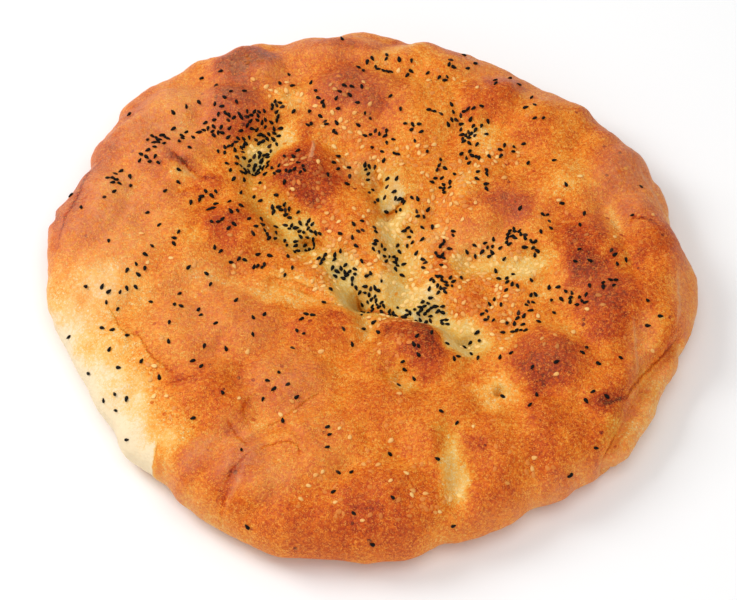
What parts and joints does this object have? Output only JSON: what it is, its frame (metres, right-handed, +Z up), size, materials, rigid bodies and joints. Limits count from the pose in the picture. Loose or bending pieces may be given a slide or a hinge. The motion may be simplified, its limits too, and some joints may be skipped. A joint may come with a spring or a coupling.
{
  "type": "flatbread",
  "caption": "Round leavened flatbread with a puffed rim, a dimpled golden-brown crust and a pressed, pale middle, strewn with nigella and sesame seeds.",
  "frame": {"origin": "centre of the bread's box in plan, on the surface that it lies on", "axes": "+X towards the right of the bread as it is looked at, +Y towards its far side, +Z up through the crust"},
  "size_m": [0.3002, 0.2894, 0.0372],
  "materials": {
    "crust": "egg-washed crust, golden to red-brown, with a soft sheen",
    "nigella": "dull black seed coat",
    "sesame": "toasted cream seed coat with a soft sheen"
  },
  "bodies": {
    "root": {"bread": "crust"}
  },
  "joints": []
}
